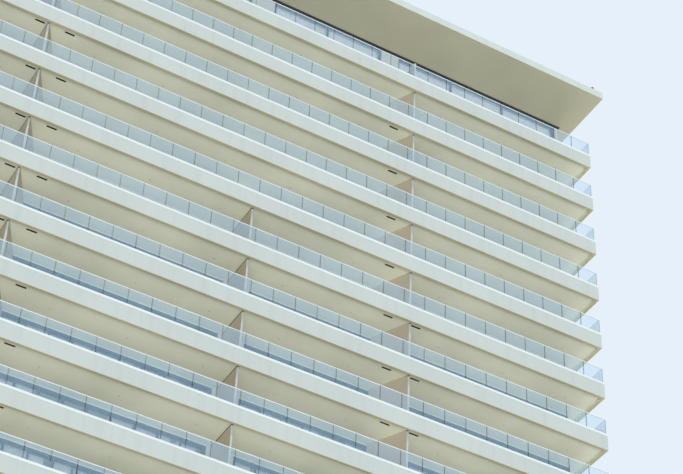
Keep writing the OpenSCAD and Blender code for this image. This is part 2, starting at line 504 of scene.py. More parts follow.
def start_material(name, **sockets):
    """A new material with plain values on its shader's sockets."""
    material = bpy.data.materials.new(name)
    material.use_nodes = True
    shader = material.node_tree.nodes["Principled BSDF"]
    for key, value in sockets.items():
        title = key if key.isupper() else key.replace("_", " ").title()
        shader.inputs[title].default_value = value
    return material, material.node_tree, shader


def bump(tree, shader, height, strength, distance):
    """Joins a height to the shader's normal."""
    node = add_node(tree, "ShaderNodeBump", {"Height": height, "Strength": strength, "Distance": distance})
    tree.links.new(node.outputs["Normal"], shader.inputs["Normal"])


GRIME = from_screen(112, 106, 92)
SETTLED = from_screen(196, 190, 174)
DRIED_RAIN = from_screen(236, 238, 236)


def painted(name, colour, streaks=0.25, mottle=0.1, grain=420, rough=0.72, dust=0.3):
    """Painted concrete or plaster: roller grain, broad patches, rain streaks and dust."""
    material, tree, shader = start_material(name, roughness=rough)
    surface = effect(tree, "Surface Grain", Grain=grain, Patches=2.6)
    rain = effect(tree, "Rain Streaks", Across=26, Down=1.6, Amount=streaks)
    settled = effect(tree, "Settled Dust", Patches=18, Amount=dust)
    base = mixed(tree, surface.outputs["Mottle"], darker(colour, 1 - mottle), colour)
    stained = mixed(tree, rain.outputs["Mask"], base, toned(colour, GRIME, 0.3))
    dusty = mixed(tree, settled.outputs["Mask"], stained, toned(colour, SETTLED, 0.7))
    tree.links.new(dusty, shader.inputs["Base Color"])
    rougher = scaled(tree, surface.outputs["Mottle"], 0, 1, rough - 0.06, rough + 0.06)
    tree.links.new(rougher, shader.inputs["Roughness"])
    bump(tree, shader, surface.outputs["Height"], strength=0.25, distance=0.0006)
    return material


def coated(name, colour, rough=0.38, dust=0.35, metallic=0.0):
    """Powder coat or bare metal, with faint orange peel and dust."""
    material, tree, shader = start_material(name, roughness=rough, metallic=metallic)
    surface = effect(tree, "Surface Grain", Grain=900, Patches=8)
    settled = effect(tree, "Settled Dust", Patches=40, Amount=dust)
    base = mixed(tree, surface.outputs["Mottle"], darker(colour, 0.95), colour)
    dusty = mixed(tree, settled.outputs["Mask"], base, toned(colour, SETTLED, 0.6))
    tree.links.new(dusty, shader.inputs["Base Color"])
    tree.links.new(scaled(tree, settled.outputs["Mask"], 0, 1, rough, 0.8), shader.inputs["Roughness"])
    bump(tree, shader, surface.outputs["Height"], strength=0.1, distance=0.0003)
    return material


def glazed(name, colour, alpha, haze, silver, rough=0.05, shade=0.3):
    """Coated glass that lets light through its alpha, marked by dried rain. shade weakens its shadow."""
    material, tree, shader = start_material(name, roughness=rough, IOR=1.5, metallic=silver)
    rain = effect(tree, "Rain Streaks", Across=60, Down=9, Amount=1.0)
    surface = effect(tree, "Surface Grain", Grain=160, Patches=5)
    soiled = product(tree, rain.outputs["Mask"], surface.outputs["Mottle"])
    tinted = mixed(tree, surface.outputs["Mottle"], darker(colour, 0.93), colour)
    marked = mixed(tree, soiled, tinted, toned(colour, DRIED_RAIN, 0.35))
    tree.links.new(marked, shader.inputs["Base Color"])
    covered = scaled(tree, soiled, 0, 1, alpha, alpha + haze)
    rays = add_node(tree, "ShaderNodeLightPath")
    lit = scaled(tree, rays.outputs["Is Shadow Ray"], 0, 1, 1.0, shade)
    tree.links.new(product(tree, covered, lit), shader.inputs["Alpha"])
    tree.links.new(scaled(tree, soiled, 0, 1, rough, rough + 0.25), shader.inputs["Roughness"])
    return material


def woven(name, colour, threads=1500, sheen=0.3):
    """Curtain or blind cloth: crossed threads, with a little sheen."""
    material, tree, shader = start_material(name, roughness=0.85, sheen_weight=sheen)
    place = add_node(tree, "ShaderNodeTexCoord")
    thread_values = {"Vector": place.outputs["Object"], "Scale": threads, "Distortion": 0.4}
    up = add_node(tree, "ShaderNodeTexWave", thread_values, bands_direction="Z")
    across = add_node(tree, "ShaderNodeTexWave", thread_values, bands_direction="X")
    weave = larger(tree, up.outputs["Fac"], across.outputs["Fac"])
    surface = effect(tree, "Surface Grain", Grain=300, Patches=6)
    base = mixed(tree, surface.outputs["Mottle"], darker(colour, 0.93), colour)
    threaded = mixed(tree, weave, darker(colour, 0.86), base)
    tree.links.new(threaded, shader.inputs["Base Color"])
    bump(tree, shader, weave, strength=0.3, distance=0.0003)
    return material


def laid(tree, colour, jointing, joint, size, offset):
    """Tiles or strips of a length and width, in two close tones. offset moves every other row."""
    place = add_node(tree, "ShaderNodeTexCoord")
    length, width = size
    return add_node(tree, "ShaderNodeTexBrick", {
        "Vector": place.outputs["Object"],
        "Color1": colour,
        "Color2": darker(colour, 0.9),
        "Mortar": jointing,
        "Scale": 1.0,
        "Mortar Size": joint,
        "Brick Width": length,
        "Row Height": width,
    }, offset=offset)


def tiled(name, colour, joint=0.0008):
    """Square stone tiles with darker joints, sunk a little."""
    tile = bpy.context.scene.tower_sizes.tile
    material, tree, shader = start_material(name, roughness=0.55)
    bricks = laid(tree, colour, darker(colour, 0.6), joint, (tile, tile), offset=0.0)
    surface = effect(tree, "Surface Grain", Grain=260, Patches=9)
    veined = mixed(tree, surface.outputs["Mottle"], darker(colour, 0.88), colour)
    blended = mixed(tree, 0.5, bricks.outputs["Color"], veined)
    jointed = mixed(tree, bricks.outputs["Fac"], blended, darker(colour, 0.55))
    settled = effect(tree, "Settled Dust", Patches=12, Amount=0.35)
    dusty = mixed(tree, settled.outputs["Mask"], jointed, SETTLED)
    tree.links.new(dusty, shader.inputs["Base Color"])
    sunk = scaled(tree, bricks.outputs["Fac"], 0, 1, 1, 0)
    bump(tree, shader, sunk, strength=0.5, distance=0.0006)
    return material


def sheeted(name, colour, width=0.1, seam=0.003):
    """Roof membrane laid in strips, ten times as long as wide, with lapped seams."""
    material, tree, shader = start_material(name, roughness=0.8)
    strips = laid(tree, colour, darker(colour, 0.72), seam, (width * 10, width), offset=0.5)
    surface = effect(tree, "Surface Grain", Grain=500, Patches=4)
    settled = effect(tree, "Settled Dust", Patches=7, Amount=0.6)
    base = mixed(tree, surface.outputs["Mottle"], darker(colour, 0.85), strips.outputs["Color"])
    dusty = mixed(tree, settled.outputs["Mask"], base, toned(colour, GRIME, 0.35))
    tree.links.new(dusty, shader.inputs["Base Color"])
    bump(tree, shader, strips.outputs["Fac"], strength=0.5, distance=0.0008)
    return material


def moulded(name, colour):
    """Clear coloured plastic of a lamp's lens, with fine moulded ribs."""
    material, tree, shader = start_material(name, roughness=0.12, coat_weight=0.4, IOR=1.49)
    place = add_node(tree, "ShaderNodeTexCoord")
    ribs = add_node(tree, "ShaderNodeTexWave", {
        "Vector": place.outputs["Object"], "Scale": 140, "Distortion": 0.0,
    }, bands_direction="Z")
    base = mixed(tree, ribs.outputs["Fac"], darker(colour, 0.6), colour)
    tree.links.new(base, shader.inputs["Base Color"])
    bump(tree, shader, ribs.outputs["Fac"], strength=0.4, distance=0.0006)
    return material


# Each finish: the function that makes it, the colour setting it takes, and its own values
FINISHES = {
    "band_paint": (painted, "band", {"streaks": 0.3, "mottle": 0.05}),
    # Partly paint, partly painted warm light from below
    "soffit_paint": (painted, "soffit", {"streaks": 0.0, "mottle": 0.12}),
    # Painted shade: the undersides of the drip lips are darker than the soffits
    "lip_paint": (painted, "lip", {"streaks": 0.3, "mottle": 0.2}),
    "vent_metal": (coated, "slot", {"rough": 0.6}),
    "balcony_tiles": (tiled, "tiles", {}),
    "rim_coat": (coated, "rim", {"rough": 0.34, "dust": 0.25}),
    "fascia_paint": (painted, "fascia", {"streaks": 0.35, "mottle": 0.06}),
    "eaves_paint": (painted, "eaves", {"streaks": 0.0, "mottle": 0.1}),
    "roof_membrane": (sheeted, "membrane", {}),
    "screen_render": (painted, "screen", {"streaks": 0.25, "mottle": 0.08}),
    "screen_edge_paint": (painted, "screen_edge", {"streaks": 0.2, "mottle": 0.04}),
    # Partly render, partly painted shade on the splayed faces
    "splay_render": (painted, "splay", {"streaks": 0.25, "mottle": 0.07}),
    "wall_render": (painted, "wall", {"streaks": 0.35, "mottle": 0.08}),
    "window_coat": (coated, "frame", {"rough": 0.42, "dust": 0.3}),
    "window_pane": (glazed, "pane", {"alpha": 0.1, "rough": 0.03, "haze": 0.04, "silver": 0.5}),
    "curtain_cloth": (woven, "curtain", {}),
    "blind_cloth": (woven, "blind", {"sheen": 0.1}),
    # Partly tint, partly a painted reflection of blue sky
    "rail_pane": (glazed, "rail", {"alpha": 0.22, "haze": 0.05, "silver": 1.0}),
    "rail_pane_edge": (coated, "rail_edge", {"rough": 0.25, "dust": 0.1}),
    # Painted shade in the rail glass joints
    "rail_pane_cut": (coated, "rail_cut", {"rough": 0.4, "dust": 0.05}),
    # Partly seal, partly painted shade in the gap over the screens
    "joint_seal": (coated, "joint", {"rough": 0.7, "dust": 0.1}),
    # Partly metal, partly painted shade under the roof
    "roof_channel_metal": (coated, "channel", {"rough": 0.5, "dust": 0.1}),
    "rail_cap_metal": (coated, "cap", {"rough": 0.4, "dust": 0.06}),
    "lamp_plastic": (moulded, "lens", {}),
    "trim_metal": (coated, "trim", {"rough": 0.4, "metallic": 0.6}),
}


def finish(name, colours):
    """The named material, made on first use."""
    made = bpy.data.materials.get(name)
    if made:
        return made
    maker, colour, values = FINISHES[name]
    return maker(name, getattr(colours, colour)[:], **values)


def finishes(context, *names):
    """Several named materials in order."""
    return [finish(name, context.scene.tower_colours) for name in names]


def dress_node(node, materials, choose=None):
    """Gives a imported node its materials, face by face where choose says which."""
    made = NODES[node]
    made.data.materials.clear()
    for material in materials:
        made.data.materials.append(material)
    for polygon in made.data.polygons:
        polygon.material_index = choose(polygon) if choose else 0
    return made


def soften(made, width, segments=2):
    """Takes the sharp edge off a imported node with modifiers, which leave its mesh alone."""
    weld = made.modifiers.new("Weld", "WELD")
    weld.merge_threshold = 2e-5
    bevel = made.modifiers.new("Bevel", "BEVEL")
    bevel.width = width
    bevel.segments = segments
    bevel.limit_method = "ANGLE"
    bevel.angle_limit = math.radians(25)
    shade = made.modifiers.new("Shading", "WEIGHTED_NORMAL")
    shade.keep_sharp = False


# Operators, one for each piece or group of like pieces

def facing(polygon, axis, way):
    """True where a face looks along an axis, towards way, give or take 45 degrees."""
    within = 0.7
    return polygon.normal[axis] * way > within


class TOWER_OT_paint_plates(bpy.types.Operator):
    """Paint the floor plates and the plinth, and lay the balcony tiles"""

    bl_idname = "tower.paint_plates"
    bl_label = "Paint Floor Plates"
    bl_options = {"REGISTER", "UNDO"}

    def execute(self, context):
        sizes = context.scene.tower_sizes
        names = ("band_paint", "soffit_paint", "lip_paint", "vent_metal", "balcony_tiles")
        materials = finishes(context, *names)
        band, soffit, lip, vent, tile = range(len(names))
        for plate in PLATES:
            low, ceiling = axis_values(plate, Z)[:2]

            def choose(polygon):
                height = polygon.center.z
                if facing(polygon, Z, 1):
                    return tile
                if facing(polygon, Z, -1):
                    # The underside of the drip lips takes the darker tan, as painted shade
                    if height < low + TOUCH:
                        return lip
                    return soffit if height < ceiling + TOUCH else vent
                if max(abs(polygon.center.x) - HALF_W, abs(polygon.center.y) - HALF_D) > -TOUCH:
                    return band
                return soffit if height < ceiling else vent

            soften(dress_node(plate, materials, choose), sizes.edge)
        dress_node("plinth", materials, lambda face: tile if facing(face, Z, 1) else band)
        soften(NODES["plinth"], sizes.edge)
        return {"FINISHED"}


class TOWER_OT_coat_rims(bpy.types.Operator):
    """Coat the metal rims on the plates' edges"""

    bl_idname = "tower.coat_rims"
    bl_label = "Coat Rims"
    bl_options = {"REGISTER", "UNDO"}

    def execute(self, context):
        sizes = context.scene.tower_sizes
        materials = finishes(context, "rim_coat")
        for node in ("front_rims", "back_rims", "side_rims"):
            soften(dress_node(node, materials), sizes.edge / 3, segments=1)
        return {"FINISHED"}


class TOWER_OT_finish_roof(bpy.types.Operator):
    """Paint the roof's edge and underside, and lay its membrane"""

    bl_idname = "tower.finish_roof"
    bl_label = "Finish Roof"
    bl_options = {"REGISTER", "UNDO"}

    def execute(self, context):
        sizes = context.scene.tower_sizes
        materials = finishes(context, "fascia_paint", "eaves_paint", "roof_membrane")
        fascia, eaves, membrane = range(len(materials))
        margin = 0.03
        inner_x, inner_y = ROOF_HIGH.x - margin, ROOF_HIGH.y - margin

        def choose(polygon):
            if facing(polygon, Z, -1):
                return eaves
            x, y, height = polygon.center
            inside = abs(x) < inner_x and abs(y) < inner_y
            below_kerb = height < ROOF_HIGH.z - TOUCH
            return membrane if facing(polygon, Z, 1) and inside and below_kerb else fascia

        soften(dress_node("roof_slab", materials, choose), sizes.edge)
        return {"FINISHED"}


class TOWER_OT_fit_roof_channel(bpy.types.Operator):
    """Fit the dark metal channel that closes the walls against the roof. Its dark colour is partly the metal
    and partly painted shade where the walls meet the roof.
    """

    bl_idname = "tower.fit_roof_channel"
    bl_label = "Fit Roof Channel"
    bl_options = {"REGISTER", "UNDO"}

    def execute(self, context):
        sizes = context.scene.tower_sizes
        shape = Shape()
        low, high = ROOF_LOW.z - sizes.channel_height, ROOF_LOW.z
        half_x = SIDE_WALL_X + sizes.channel_end
        half_y = WALL_Y + sizes.channel_front
        lap = 4 * MM
        inner_x = SIDE_WALL_X - lap
        inner_y = WALL_Y - lap
        fold = 2 * MM
        points = []
        for right, back in ((-1, -1), (1, -1), (1, 1), (-1, 1)):
            x, y = right * half_x, back * half_y
            inside = (right * inner_x, back * inner_y)
            section = [(x, y, high), (x, y, low + fold), (x - right * fold, y - back * fold, low)]
            section += [(*inside, low), (*inside, high)]
            points += section
        shape.tube(points, len(section), endless=True)
        shape.piece("roof_channel", finishes(context, "roof_channel_metal"))
        return {"FINISHED"}


class TOWER_OT_render_walls(bpy.types.Operator):
    """Finish the piers and the side walls"""

    bl_idname = "tower.render_walls"
    bl_label = "Render Walls"
    bl_options = {"REGISTER", "UNDO"}

    def execute(self, context):
        sizes = context.scene.tower_sizes
        materials = finishes(context, "wall_render")
        for node in ("front_wall", "back_wall", "left_wall", "right_wall"):
            soften(dress_node(node, materials), sizes.edge, segments=1)
        return {"FINISHED"}


class TOWER_OT_render_screens(bpy.types.Operator):
    """Finish the party screens: tan sides, pale front edges, and splayed faces in a darker tan that is partly
    painted shade
    """

    bl_idname = "tower.render_screens"
    bl_label = "Render Screens"
    bl_options = {"REGISTER", "UNDO"}

    def execute(self, context):
        sizes = context.scene.tower_sizes
        materials = finishes(context, "screen_render", "screen_edge_paint", "splay_render")
        side, edge, splay = range(len(materials))
        slanted = 0.1

        def choose(polygon):
            if facing(polygon, Y, 1) or facing(polygon, Y, -1):
                return edge
            # Slanted faces take the darker tan, which is partly painted shade
            return splay if abs(polygon.normal.y) > slanted else side

        for node in ("left_party_screens", "right_party_screens", "middle_screens", "top_screens"):
            soften(dress_node(node, materials, choose), sizes.edge / 2, segments=1)
        return {"FINISHED"}


class TOWER_OT_seal_screens(bpy.types.Operator):
    """Seal the joint over each full-height screen, along its front and its square sides. The seal's dark
    brown is partly its own colour and partly painted shade in the gap.
    """

    bl_idname = "tower.seal_screens"
    bl_label = "Seal Screens"
    bl_options = {"REGISTER", "UNDO"}

    def execute(self, context):
        sizes = context.scene.tower_sizes
        shape = Shape()
        proud = 0.5 * MM
        hidden = 0.3 * MM
        # Which of a screen's x positions its four corners take, and the way its square side faces
        for node, corners, outside in (
            ("left_party_screens", (0, 1, 2, 0), -1),
            ("right_party_screens", (1, 2, 2, 0), 1),
            ("middle_screens", (0, 1, 1, 0), 0),
        ):
            xs = axis_values(node, X)
            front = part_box(node)[1].y
            square = xs[-1] if outside > 0 else xs[0]
            outline = []
            for corner, y in zip(corners, (front, front, WALL_Y, WALL_Y)):
                x = xs[corner]
                if outside:
                    side_step = outside * (proud if abs(x - square) < TOUCH else hidden)
                else:
                    side_step = math.copysign(proud, x - sum(xs) / 2)
                outline.append((x + side_step, y + (proud if y == front else 0)))
            for side in (-1, 1):
                for ceiling in axis_values(node, Z)[1::2]:
                    low = ceiling - sizes.head_joint
                    shape.prism(outline, lambda x, y, z: (x, side * y, z), low, ceiling)
        # The dark bands are partly a seal and partly painted shade
        shape.piece("screen_joints", finishes(context, "joint_seal"))
        return {"FINISHED"}


class TOWER_OT_fit_lamp(bpy.types.Operator):
    """Fit the warning lamp: a collar, a ribbed lens and a cap"""

    bl_idname = "tower.fit_lamp"
    bl_label = "Fit Warning Lamp"
    bl_options = {"REGISTER", "UNDO"}

    def execute(self, context):
        low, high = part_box("roof_lamp")
        radius = (high.x - low.x) / 2
        height = high.z - low.z
        centre = ((low.x + high.x) / 2, (low.y + high.y) / 2, low.z)
        shape = Shape()
        metal, plastic = range(2)
        # Profiles in shares of the lamp's radius and height
        collar = [(1, 0), (1, 0.14), (0.9, 0.2), (0.7, 0.2)]
        lens = [(0.7, 0.2)]
        ribs = 6
        for rib in range(ribs):
            share = 0.22 + 0.56 * rib / ribs
            lens += [(0.8, share), (0.84, share + 0.045)]
        lens += [(0.8 * math.cos(turn), 0.8 + 0.16 * math.sin(turn)) for turn in (0, 0.5, 1.0)]
        cap = [(0.34, 0.93), (0.34, 0.98), (0.26, 1)]
        for shares, sides, material in ((collar, 32, metal), (lens, 32, plastic), (cap, 24, metal)):
            shape.turned([(radius * out, height * up) for out, up in shares], centre, sides, material)
        materials = finishes(context, "trim_metal", "lamp_plastic")
        made = shape.piece("warning_lamp", materials, smooth=50)
        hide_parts("roof_lamp")
        return {"FINISHED"}


class TOWER_OT_glaze_rails(bpy.types.Operator):
    """Set the rail glass in panels, with a metal cap along the front and the back"""

    bl_idname = "tower.glaze_rails"
    bl_label = "Glaze Rails"
    bl_options = {"REGISTER", "UNDO"}

    def execute(self, context):
        sizes = context.scene.tower_sizes
        materials = finishes(context, "rail_pane", "rail_pane_edge", "rail_pane_cut")
        cap_metal = finishes(context, "rail_cap_metal")
        for side, name in LONG_SIDES:
            panes = Shape()
            caps = Shape()
            place = along_front(side)
            far = RAIL_FRONT[1].x
            out = (RAIL_FRONT[0].y, RAIL_FRONT[1].y)
            for level, (low, high) in enumerate(RAIL_LEVELS):
                breaks = self.breaks(-far, far, sizes, random.Random(level))
                self.panels(panes, place, breaks, (low, high), out, sizes)
                self.cap(caps, place, breaks, high, sum(out) / 2, sizes)
            made = panes.piece(f"{name}_rail_panels", materials)
            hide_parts(f"{name}_rail_glass")
            caps.piece(f"{name}_rail_caps", cap_metal, smooth=40)
        panes = Shape()
        for side in (-1, 1):
            place = along_end(side)
            far = RAIL_SIDE[1].y
            out = (RAIL_SIDE[1].x - (RAIL_FRONT[1].y - RAIL_FRONT[0].y), RAIL_SIDE[1].x)
            count = round(2 * far / sizes.rail_pitch)
            breaks = [-far + 2 * far * step / count for step in range(count + 1)]
            for low, high in RAIL_LEVELS:
                self.panels(panes, place, breaks, (low, high), out, sizes)
        made = panes.piece("side_rail_panels", materials)
        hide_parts("side_rail_glass")
        return {"FINISHED"}

    def breaks(self, low, high, sizes, draw):
        """Panel joints counted from the right end, with a narrower panel somewhere on most storeys."""
        from_right, from_left = 9, 4
        most_trimmed = 0.012
        count = round((high - low) / sizes.rail_pitch)
        narrow = draw.randrange(from_right, count - from_left)
        trim = draw.uniform(0, most_trimmed)
        joints = [high]
        for panel in range(count - 1):
            joints.append(joints[-1] - sizes.rail_pitch + (trim if panel == narrow else 0))
        joints.append(low)
        return joints[::-1]

    def panels(self, shape, place, breaks, heights, out, sizes):
        """Adds a panel between each two joints. Its edges are pale, and dark where they face a joint, as
        painted shade in the joints.
        """
        pale, dark = 1, 2
        chamfer = 0.3 * MM
        half = sizes.rail_joint / 2
        thin, along = (X, Y) if place(0, 0, 1)[X] else (Y, X)
        for number, (left, right) in enumerate(zip(breaks, breaks[1:])):
            low = left + (half if number else 0)
            high = right - (half if number < len(breaks) - 2 else 0)
            start = len(shape.faces)
            placed_block(shape, place, (low, heights[0], out[0]), (high, heights[1], out[1]), chamfer)
            free_ends = [end for end in (low, high) if end in (breaks[0], breaks[-1])]
            for index in range(start, len(shape.faces)):
                corners = [shape.points[point] for point in shape.faces[index]]
                if spread(corners, thin) < TOUCH / 10:
                    continue
                middle = sum(corner[along] for corner in corners) / len(corners)
                at_end = min(middle - low, high - middle) < chamfer
                free = any(abs(middle - end) < 2 * chamfer for end in free_ends)
                # Edges that face a joint take the dark colour, as painted shade in the joints
                shape.finishes[index] = dark if at_end and not free else pale

    def cap(self, shape, place, breaks, top, middle, sizes):
        """Adds the cap in lengths of four panels, that end at panel joints."""
        half = sizes.cap_width / 2
        wall = 0.9 * MM
        soft = 0.8 * MM
        lift = 0.3 * MM
        clearance = 0.05 * MM
        end_gap = 0.2 * MM
        foot = lift - sizes.cap_height
        outline = [
            (-half, foot), (-half, lift - soft), (soft - half, lift), (half - soft, lift),
            (half, lift - soft), (half, foot), (half - wall, foot),
            (half - wall, clearance), (wall - half, clearance), (wall - half, foot),
        ]
        lengths = breaks[::4]
        if lengths[-1] != breaks[-1]:
            lengths.append(breaks[-1])

        def put(out, up, along):
            return place(along, top + up, middle + out)

        for left, right in zip(lengths, lengths[1:]):
            shape.prism(outline, put, left + end_gap, right - end_gap)


class TOWER_OT_glaze_windows(bpy.types.Operator):
    """Fit sliding window leaves between the piers, with their frames and glass"""

    bl_idname = "tower.glaze_windows"
    bl_label = "Glaze Windows"
    bl_options = {"REGISTER", "UNDO"}

    def execute(self, context):
        sizes = context.scene.tower_sizes
        # The plaster strips over the window heads share the soffit colour, which is partly painted warm light
        # from below
        frame_metal = finishes(context, "window_coat", "soffit_paint")
        glass = finishes(context, "window_pane")
        for side, name in LONG_SIDES:
            frames = Shape()
            panes = Shape()
            place = along_front(side)
            for floor, ceiling in STOREYS:
                for low, high in BAYS:
                    self.bay(frames, panes, place, (low, high), (floor, ceiling), sizes)
            frames.piece(f"{name}_window_frames", frame_metal)
            made = panes.piece(f"{name}_window_panes", glass)
            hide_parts(f"{name}_windows")
        return {"FINISHED"}

    def bay(self, frames, panes, place, width, height, sizes):
        """Adds one bay: a fixed frame and its leaves. A tall storey has broad leaves and a thin head."""
        plaster = 1
        chamfer, leaf_chamfer, pane_chamfer = 0.6 * MM, 0.8 * MM, 0.2 * MM
        thin_head = 4 * MM
        strip_proud = 2 * MM
        broad = 3
        tracks = (7.3 * MM, 1.5 * MM)
        leaf_depth = 5.2 * MM
        pane_back, pane_front = 3.6 * MM, 2.2 * MM
        inset = sizes.stile_width - 1 * MM
        jamb = sizes.stile_width
        lap = sizes.stile_width / 4
        near = WALL_Y - sizes.window_inset
        far = PANE_Y - 2.8 * MM
        left, right = width
        floor, ceiling = height
        sill = floor + 4 * MM
        usual = STOREYS[1][1] - STOREYS[1][0]
        tall = ceiling - floor > usual + sizes.head_height
        head = ceiling - (thin_head if tall else sizes.head_height)
        strip = ceiling - (0 if tall else sizes.head_strip)
        if not tall:
            strip_corner = (right, ceiling, near + strip_proud)
            placed_block(frames, place, (left, strip, far), strip_corner, chamfer, plaster)
        placed_block(frames, place, (left, head, far), (right, strip, near), chamfer)
        placed_block(frames, place, (left, floor, far), (right, sill, near), chamfer)
        for start, end in ((left, left + jamb), (right - jamb, right)):
            placed_block(frames, place, (start, sill, far), (end, head, near), chamfer)
        count = round((right - left) / (sizes.leaf_width * (broad if tall else 1)))
        pitch = (right - left - 2 * jamb) / count
        for leaf in range(count):
            start = left + jamb + leaf * pitch
            depth = near - tracks[leaf % 2]
            low = (start - (lap if leaf else 0), sill)
            high = (start + pitch + (lap if leaf < count - 1 else 0), head)
            frames.ring(low, high, sizes.stile_width, (depth - leaf_depth, depth), leaf_chamfer, place)
            placed_block(panes, place, (low[0] + inset, low[1] + inset, depth - pane_back),
                         (high[0] - inset, high[1] - inset, depth - pane_front), pane_chamfer)


class TOWER_OT_hang_curtains(bpy.types.Operator):
    """Hang pleated curtains behind the windows, drawn by a fixed seed"""

    bl_idname = "tower.hang_curtains"
    bl_label = "Hang Curtains"
    bl_options = {"REGISTER", "UNDO"}

    def execute(self, context):
        sizes = context.scene.tower_sizes
        cloth = finishes(context, "curtain_cloth")
        for side, name in LONG_SIDES:
            shape = Shape()
            place = along_front(side)
            draw = random.Random(SEEDS[name])
            rows = []
            for floor, ceiling in STOREYS:
                drawn = ceiling == CEILINGS[-1]
                rows.append([])
                for low, high in BAYS:
                    for start, end in self.runs(low, high, drawn, side < 0, sizes, draw):
                        cut = self.drape(shape, place, (start, end), (floor, ceiling), sizes, draw)
                        rows[-1].append(cut)
            made = shape.piece(f"{name}_curtains", cloth, smooth=60)
            declare_cloth(rows)
        return {"FINISHED"}

    def runs(self, low, high, drawn, parted, sizes, draw):
        """Lengths of cloth in one bay: a single one where it is drawn, or else one to four leaves wide."""
        margin = 4 * MM
        narrowest, least_room = 0.02, 0.03
        leaf_counts = (1, 1, 2, 2, 3, 4)
        gaps = (0.012, 0.016, 0.03, 0.05)
        bare_share = 0.08
        if drawn:
            return [(low + margin, high - margin)]
        found = []
        start = low + margin
        while high - margin - start > least_room:
            leaves = draw.choice(leaf_counts)
            end = min(start + leaves * sizes.leaf_width, high - margin)
            gap = draw.choice(gaps) if parted else 0
            if draw.random() > bare_share:
                found.append((start, max(start + narrowest, end - gap)))
            start = end
        return found

    def drape(self, shape, place, width, height, sizes, draw):
        """Adds one length of cloth as a thin closed sheet of pleats. Returns its cut width and drop."""
        left, right = width
        floor, ceiling = height
        hem, heading = floor + 2 * MM, ceiling - 1 * MM
        wave = (0, 1, 0, -1)
        widths, swings = (0.9, 1.1), (0.75, 1.0)
        pleats = max(1, round((right - left) / (sizes.pleat * draw.uniform(*widths))))
        steps = len(wave) * pleats
        middle = PANE_Y - sizes.curtain_gap - sizes.pleat_depth / 2
        thickness = 0.8 * MM
        points = []
        folds = []
        for step in range(steps + 1):
            along = left + (right - left) * step / steps
            swing = wave[step % len(wave)] * sizes.pleat_depth / 2 * draw.uniform(*swings)
            folds.append((along, swing))
            near, far = middle + swing, middle + swing - thickness
            section = ((hem, near), (heading, near), (heading, far), (hem, far))
            points += [place(along, up, out) for up, out in section]
        shape.tube(points, len(section))
        cut_width = sum(math.dist(here, there) for here, there in zip(folds, folds[1:]))
        return cut_width, heading - hem


class TOWER_OT_fit_side_windows(bpy.types.Operator):
    """Frame the side windows, with sills outside and roller blinds inside"""

    bl_idname = "tower.fit_side_windows"
    bl_label = "Fit Side Windows"
    bl_options = {"REGISTER", "UNDO"}

    def execute(self, context):
        sizes = context.scene.tower_sizes
        glass = finishes(context, "window_pane")
        dress_node("side_windows", glass)
        frames = Shape()
        blinds = Shape()
        bars = Shape()
        windows = in_groups(axis_values("right_wall", Y)[1:-1], 2)
        levels = in_groups(axis_values("right_wall", Z), 4)
        draw = random.Random(SEEDS["ends"])
        rows = []
        for side in (-1, 1):
            place = along_end(side)
            for _, sill, head, _ in levels:
                rows.append([])
                for low, high in windows:
                    self.window(frames, place, (low, high), (sill, head), sizes)
                    rows[-1].append(self.blind(blinds, bars, place, (low, high), (sill, head), draw))
        frames.piece("side_window_frames", finishes(context, "window_coat"))
        cloth = finishes(context, "blind_cloth")
        hems = bars.piece("side_blind_bars", cloth, smooth=40)
        made = blinds.piece("side_blinds", cloth, smooth=40)
        declare_cloth(rows)
        return {"FINISHED"}

    def window(self, shape, place, width, height, sizes):
        """Adds one frame with its middle stile, and a sill that throws the rain clear."""
        out = SIDE_WALL_X - 8 * MM
        back = out - 10 * MM
        bar = sizes.stile_width
        left, right = width
        low, high = height
        shape.ring((left, low), (right, high), bar, (back, out), 1 * MM, place)
        centre = (left + right) / 2
        placed_block(shape, place, (centre - bar / 2, low + bar, back + 1 * MM),
                     (centre + bar / 2, high - bar, out - 1 * MM), 0.6 * MM)
        rain_edge = SIDE_WALL_X + 3 * MM
        end_gap = 0.2 * MM

        def put(outwards, up, along):
            return place(along, low + up, outwards)

        outline = [(out, 0), (rain_edge, 0), (rain_edge, 1.5 * MM), (out, 3.5 * MM)]
        shape.prism(outline, put, left + end_gap, right - end_gap)

    def blind(self, cloth, bars, place, width, height, draw):
        """Adds one roller blind and the bar in its hem. Returns the width and drop of what hangs."""
        raised = (0.0, 0.2, 0.45, 0.7, 0.85)
        overlap = 6 * MM
        thickness = 1 * MM
        bar_height = 3 * MM
        inside = ROOM_X - 6 * MM
        left, right = width[0] - overlap, width[1] + overlap
        top = height[1] + 8 * MM
        bottom = height[0] + (height[1] - height[0]) * draw.choice(raised)
        placed_block(cloth, place, (left, bottom, inside - thickness), (right, top, inside), 0.2 * MM)
        placed_block(bars, place, (left, bottom - bar_height, inside - 2 * MM),
                     (right, bottom, inside + 1 * MM), 0.5 * MM)
        return right - left, top - bottom


